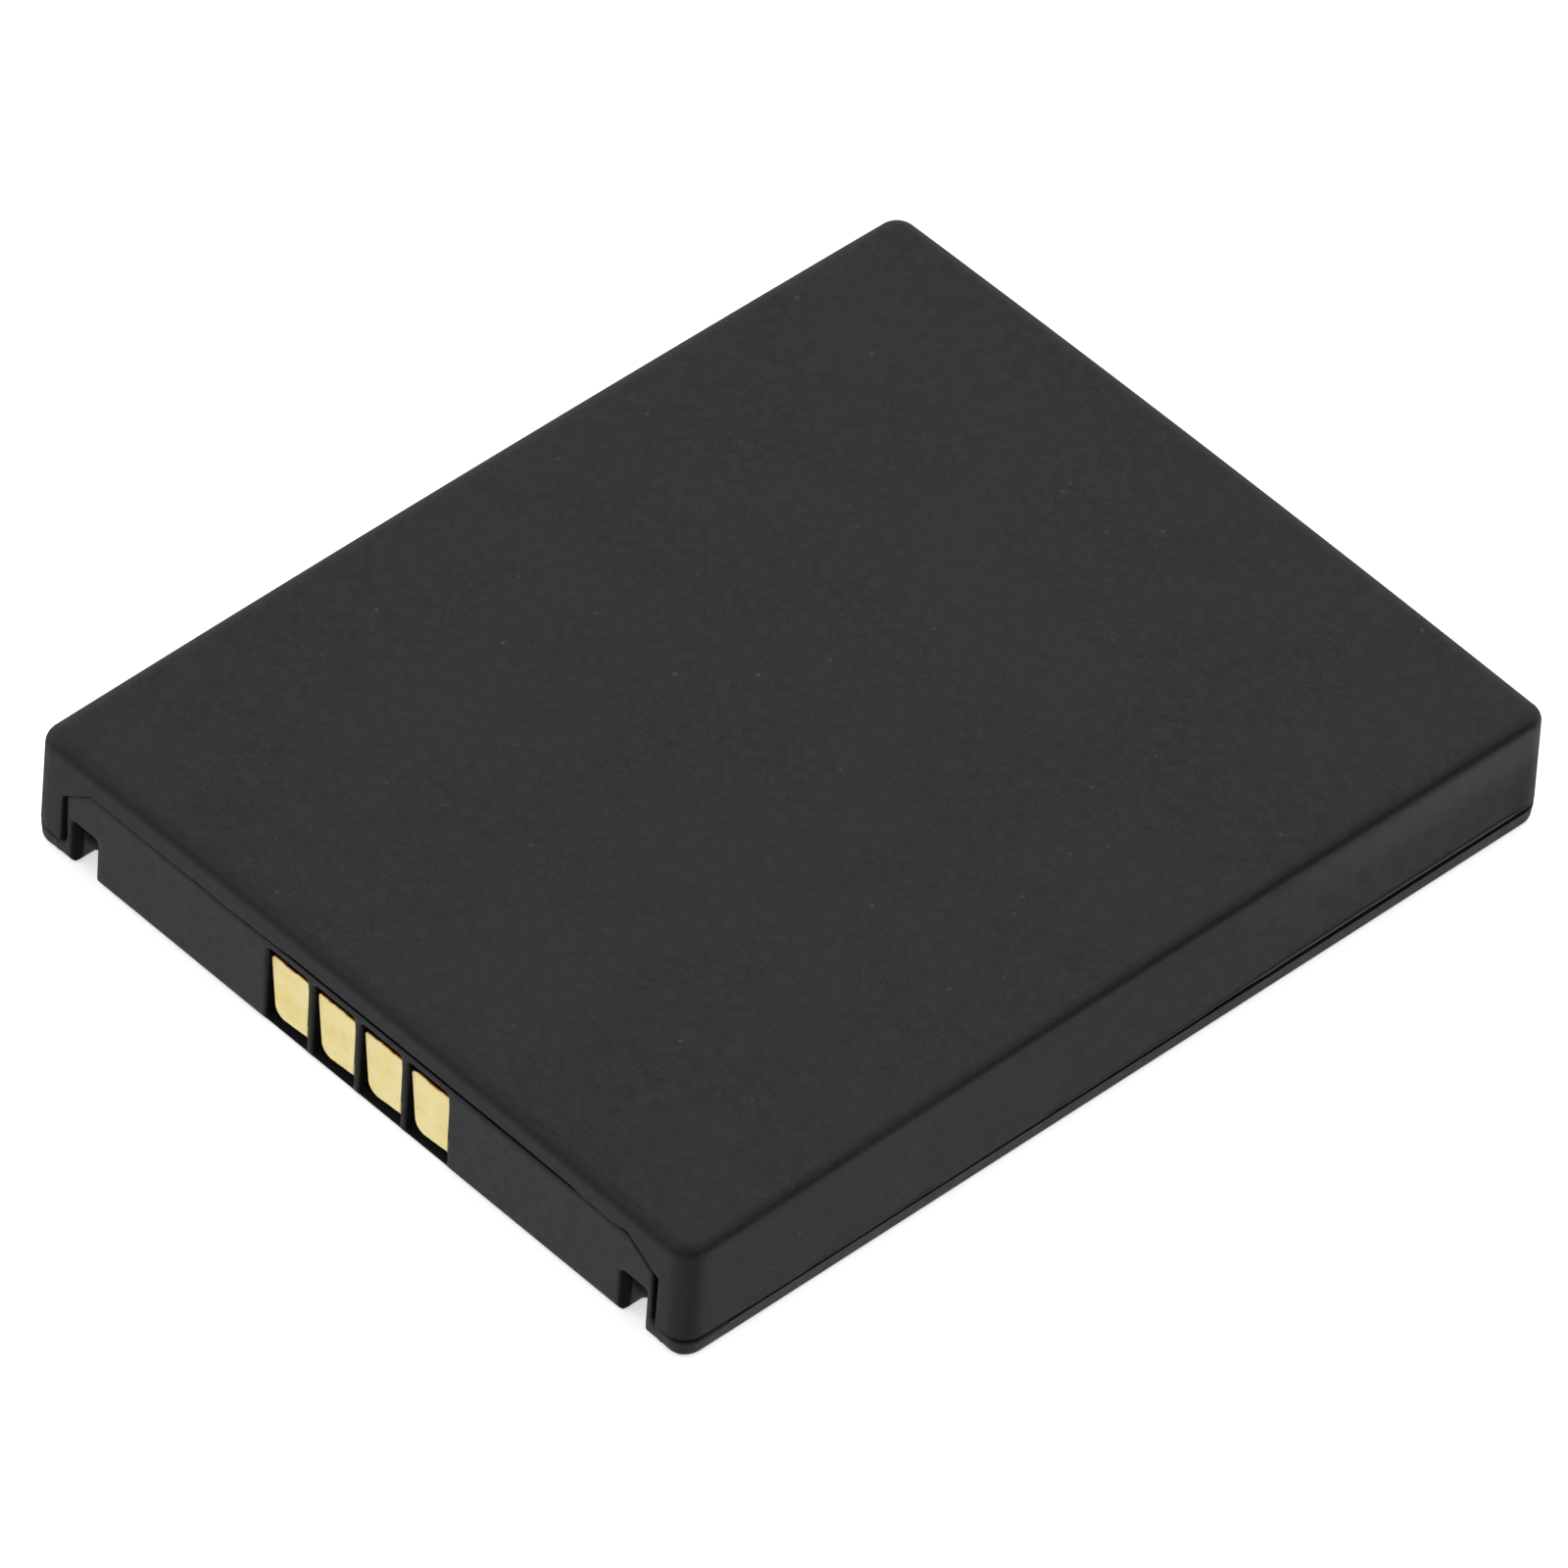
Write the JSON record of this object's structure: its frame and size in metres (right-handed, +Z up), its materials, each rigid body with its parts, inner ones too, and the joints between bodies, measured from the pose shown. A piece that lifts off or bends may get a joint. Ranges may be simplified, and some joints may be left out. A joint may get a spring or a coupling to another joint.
{
  "type": "mobile phone battery",
  "caption": "Flat rechargeable phone battery: crowned matte black cover on a shallow tray, with gold contacts in windows between two locating notches at one end.",
  "frame": {"origin": "middle of the underside, in the plane that the battery rests on", "axes": "+Y along the length, away from the contact end; +Z up, through the thickness, towards the crowned cover; +X to the right of the contact end as seen facing it"},
  "size_m": [0.035, 0.0432, 0.0059],
  "materials": {
    "cover_plastic": "fine matte moulded texture, almost black",
    "tray_plastic": "satin moulded finish, almost black",
    "contact_gold": "gold plated, satin",
    "board_laminate": "green solder resist",
    "chip_epoxy": "moulded black epoxy",
    "resistor_body": "glazed black element with plated ends",
    "thermistor_body": "dark brown sintered body",
    "capacitor_body": "tan sintered body",
    "nickel": "rolled nickel strip",
    "can_aluminium": "deep drawn, satin",
    "gasket_plastic": "blue sealing plastic",
    "card_paper": "pale insulating card",
    "fuse_film": "amber insulating film",
    "adhesive_film": "double-sided tape",
    "foam": "closed-cell foam"
  },
  "bodies": {
    "root": {"top_cover": "cover_plastic", "base_tray": "tray_plastic", "contact_1": "contact_gold", "contact_2": "contact_gold", "contact_3": "contact_gold", "contact_4": "contact_gold", "protection_board": "board_laminate", "protection_chip": "chip_epoxy", "switch_chip": "chip_epoxy", "sense_resistor": "resistor_body", "ident_resistor": "resistor_body", "thermistor": "thermistor_body", "supply_capacitor": "capacitor_body", "output_capacitor": "capacitor_body", "negative_pad": "nickel", "positive_pad": "nickel", "cell_can": "can_aluminium", "cell_lid": "can_aluminium", "negative_rivet": "nickel", "rivet_gasket": "gasket_plastic", "filling_plug": "can_aluminium", "positive_block": "nickel", "lid_card": "card_paper", "thermal_fuse": "fuse_film", "negative_strip": "nickel", "fuse_strip": "nickel", "positive_strip": "nickel", "cell_tape": "adhesive_film", "foam_pad": "foam"}
  },
  "joints": []
}
